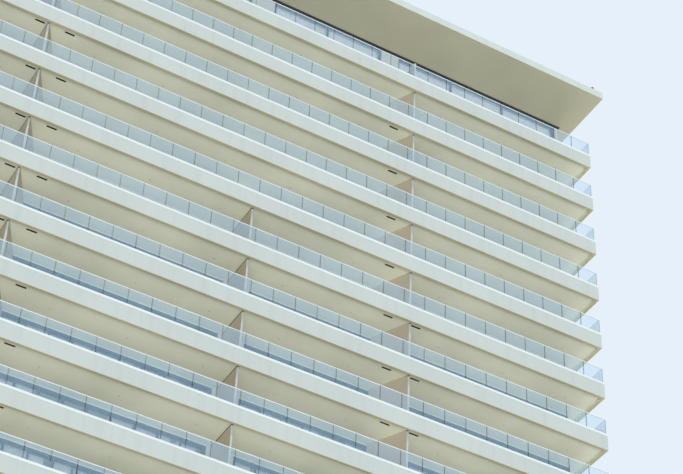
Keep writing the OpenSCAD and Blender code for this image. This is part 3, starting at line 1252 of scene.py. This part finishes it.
class TOWER_OT_fit_vents(bpy.types.Operator):
    """Fit slanted vanes in the soffit vents"""

    bl_idname = "tower.fit_vents"
    bl_label = "Fit Vents"
    bl_options = {"REGISTER", "UNDO"}

    def execute(self, context):
        shape = Shape()
        pitch = 6 * MM
        lead = 0.4
        sunk = 1 * MM
        for plate in PLATES:
            xs = axis_values(plate, X)[2:-2]
            ys = axis_values(plate, Y)[2:-2]
            level, roof = axis_values(plate, Z)[1:3]
            for left, right in in_groups(xs, 2):
                for near, far in in_groups(ys, 2):
                    for vane in range(int((right - left) / pitch)):
                        start = left + (vane + lead) * pitch
                        self.vane(shape, start, (near, far), (level + sunk, roof))
        shape.piece("soffit_vent_vanes", finishes(context, "vent_metal"))
        return {"FINISHED"}

    def vane(self, shape, start, across, height):
        """Adds one leaning vane."""
        lean = 2.5 * MM
        thickness = 0.9 * MM
        clearance = 0.05 * MM
        outline = [(start, height[0]), (start + thickness, height[0]),
                   (start + thickness + lean, height[1]), (start + lean, height[1])]
        near, far = across[0] + clearance, across[1] - clearance
        shape.prism(outline, lambda x, z, y: (x, y, z), near, far)


class TOWER_OT_fit_soffit_lamps(bpy.types.Operator):
    """Fit small round lamps in the soffits"""

    bl_idname = "tower.fit_soffit_lamps"
    bl_label = "Fit Soffit Lamps"
    bl_options = {"REGISTER", "UNDO"}

    def execute(self, context):
        sizes = context.scene.tower_sizes
        shape = Shape()
        radius = sizes.lamp_radius
        off_centre = 27 * MM
        sides = 12
        bedded = 0.4 * MM
        trim = [(radius * 0.62, bedded), (radius * 0.7, -0.9 * MM), (radius * 0.9, -1.2 * MM),
                (radius, -0.6 * MM), (radius, bedded)]
        lens = [(radius * 0.64, -0.3 * MM), (radius * 0.64, bedded)]
        for ceiling in CEILINGS[:-1]:
            for left, right in self.spans():
                count = round((right - left) / sizes.lamp_pitch)
                first = (left + right) / 2 + off_centre - (count - 1) / 2 * sizes.lamp_pitch
                for number in range(count):
                    for side in (-1, 1):
                        x = first + number * sizes.lamp_pitch
                        y = side * (HALF_D - sizes.lamp_inset)
                        for material, profile in enumerate((trim, lens)):
                            shape.turned(profile, (x, y, ceiling), sides, material)
        materials = finishes(context, "trim_metal", "curtain_cloth")
        shape.piece("soffit_lamps", materials, smooth=40)
        return {"FINISHED"}

    def spans(self):
        """The clear lengths of soffit between the ends and the screens, at the window wall."""
        screens = [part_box(name) for name in ("left_party_screens", "middle_screens", "right_party_screens")]
        starts = [-HALF_W] + [high.x for low, high in screens]
        ends = [low.x for low, high in screens] + [HALF_W]
        return list(zip(starts, ends))


class TOWER_OT_set_stage(bpy.types.Operator):
    """Set the studio floor, the light, the backdrop and the camera"""

    bl_idname = "tower.set_stage"
    bl_label = "Set Stage"
    bl_options = {"REGISTER", "UNDO"}

    def execute(self, context):
        stage = context.scene.tower_stage
        self.lay_floor(stage)
        for name, strength, bearing, height, softness in (
            ("key_light", stage.sun, 28.8, 51.0, 6.0),
            ("fill_light", stage.fill, 208.0, 40.0, 40.0),
            ("bounce_light", stage.bounce, -10.0, -36.0, 32.0),
            ("back_bounce_light", stage.bounce / 2, 170.0, -36.0, 32.0),
            ("low_light", stage.low, -35.0, -16.0, 20.0),
        ):
            self.add_sun(name, strength, bearing, height, softness)
        self.set_world(context.scene, stage)
        self.add_camera(context.scene)
        context.scene.view_settings.view_transform = "Standard"
        return {"FINISHED"}

    def lay_floor(self, stage):
        """Lays a broad pale floor under the tower."""
        half = 60.0
        corners = [(-half, -half, 0), (half, -half, 0), (half, half, 0), (-half, half, 0)]
        mesh = bpy.data.meshes.new("studio_floor")
        mesh.from_pydata(corners, [], [[0, 1, 2, 3]])
        material, tree, shader = start_material("studio_floor", roughness=0.9)
        surface = effect(tree, "Surface Grain", Grain=90, Patches=0.4)
        tone = mixed(tree, surface.outputs["Mottle"], darker(stage.floor[:], 0.98), stage.floor[:])
        tree.links.new(tone, shader.inputs["Base Color"])
        mesh.materials.append(material)
        made = bpy.data.objects.new("studio_floor", mesh)
        made.visible_shadow = False
        bpy.context.scene.collection.objects.link(made)

    def add_sun(self, name, strength, bearing, height, softness):
        """Adds a distant lamp. Its bearing, in degrees, turns from the front towards the right end."""
        lamp = bpy.data.lights.new(name, "SUN")
        lamp.energy = strength
        lamp.angle = math.radians(softness)
        made = bpy.data.objects.new(name, lamp)
        turn = Matrix.Rotation(math.radians(bearing), 3, "Z")
        tip = Matrix.Rotation(math.radians(90 - height), 3, "X")
        made.rotation_euler = (turn @ tip).to_euler()
        made.visible_glossy = False
        bpy.context.scene.collection.objects.link(made)

    def set_world(self, scene, stage):
        """Lights the tower softly, and shows a pale backdrop behind it."""
        world = bpy.data.worlds.new("studio")
        world.use_nodes = True
        tree = world.node_tree
        background = tree.nodes["Background"]
        rays = add_node(tree, "ShaderNodeLightPath")
        seen = larger(tree, rays.outputs["Is Camera Ray"], rays.outputs["Is Glossy Ray"])
        seen = larger(tree, seen, rays.outputs["Is Transmission Ray"])
        tone = mixed(tree, seen, (1.0, 1.0, 1.0, 1.0), stage.backdrop[:])
        strength = scaled(tree, seen, 0, 1, stage.sky, 1.0)
        tree.links.new(tone, background.inputs["Color"])
        tree.links.new(strength, background.inputs["Strength"])
        scene.world = world

    def add_camera(self, scene):
        """Places the camera near the ground, before the front and to the left, tipped up and rolled."""
        leftwards, before, below = 15.1401, 19.82, 24.4699
        turned, tipped, rolled = -0.4820, 0.7358, 0.0523
        groove = 8 * MM
        storey = FLOORS[3] - FLOORS[2]
        top = RAIL_LEVELS[-1][0] + groove
        lens = bpy.data.cameras.new("camera")
        lens.lens = 105.39
        lens.sensor_width = 36.0
        lens.clip_end = 200.0
        made = bpy.data.objects.new("camera", lens)
        made.location = (HALF_W - leftwards * storey, -HALF_D - before * storey, top - below * storey)
        turn = Matrix.Rotation(turned, 3, "Z")
        tip = Matrix.Rotation(math.pi / 2 + tipped, 3, "X")
        roll = Matrix.Rotation(rolled, 3, "Z")
        made.rotation_euler = (turn @ tip @ roll).to_euler()
        scene.collection.objects.link(made)
        scene.camera = made


STEPS = (
    TOWER_OT_paint_plates,
    TOWER_OT_coat_rims,
    TOWER_OT_finish_roof,
    TOWER_OT_fit_roof_channel,
    TOWER_OT_render_walls,
    TOWER_OT_render_screens,
    TOWER_OT_seal_screens,
    TOWER_OT_fit_lamp,
    TOWER_OT_glaze_rails,
    TOWER_OT_glaze_windows,
    TOWER_OT_hang_curtains,
    TOWER_OT_fit_side_windows,
    TOWER_OT_fit_vents,
    TOWER_OT_fit_soffit_lamps,
    TOWER_OT_set_stage,
)


class TOWER_PT_steps(bpy.types.Panel):
    """Panel with the tower's steps and settings"""

    bl_idname = "TOWER_PT_steps"
    bl_label = "Apartment Tower"
    bl_space_type = "VIEW_3D"
    bl_region_type = "UI"
    bl_category = "Tower"

    def draw(self, context):
        layout = self.layout
        for step in STEPS:
            layout.operator(step.bl_idname)
        for title, group in (
            ("Colours", context.scene.tower_colours),
            ("Sizes", context.scene.tower_sizes),
            ("Stage", context.scene.tower_stage),
        ):
            box = layout.box()
            box.label(text=title)
            for name in type(group).__annotations__:
                box.prop(group, name)


SETTINGS = (TowerColours, TowerSizes, TowerStage)


def register():
    """Registers the settings, the steps and the panel."""
    for made in (*SETTINGS, *STEPS, TOWER_PT_steps):
        bpy.utils.register_class(made)
    bpy.types.Scene.tower_colours = PointerProperty(type=TowerColours)
    bpy.types.Scene.tower_sizes = PointerProperty(type=TowerSizes)
    bpy.types.Scene.tower_stage = PointerProperty(type=TowerStage)


def unregister():
    """Takes away what register added."""
    del bpy.types.Scene.tower_stage
    del bpy.types.Scene.tower_sizes
    del bpy.types.Scene.tower_colours
    for made in (TOWER_PT_steps, *reversed(STEPS), *reversed(SETTINGS)):
        bpy.utils.unregister_class(made)


def main():
    """Builds the whole tower."""
    register()
    for step in STEPS:
        group, name = step.bl_idname.split(".")
        getattr(getattr(bpy.ops, group), name)()


if __name__ == "__main__":
    main()
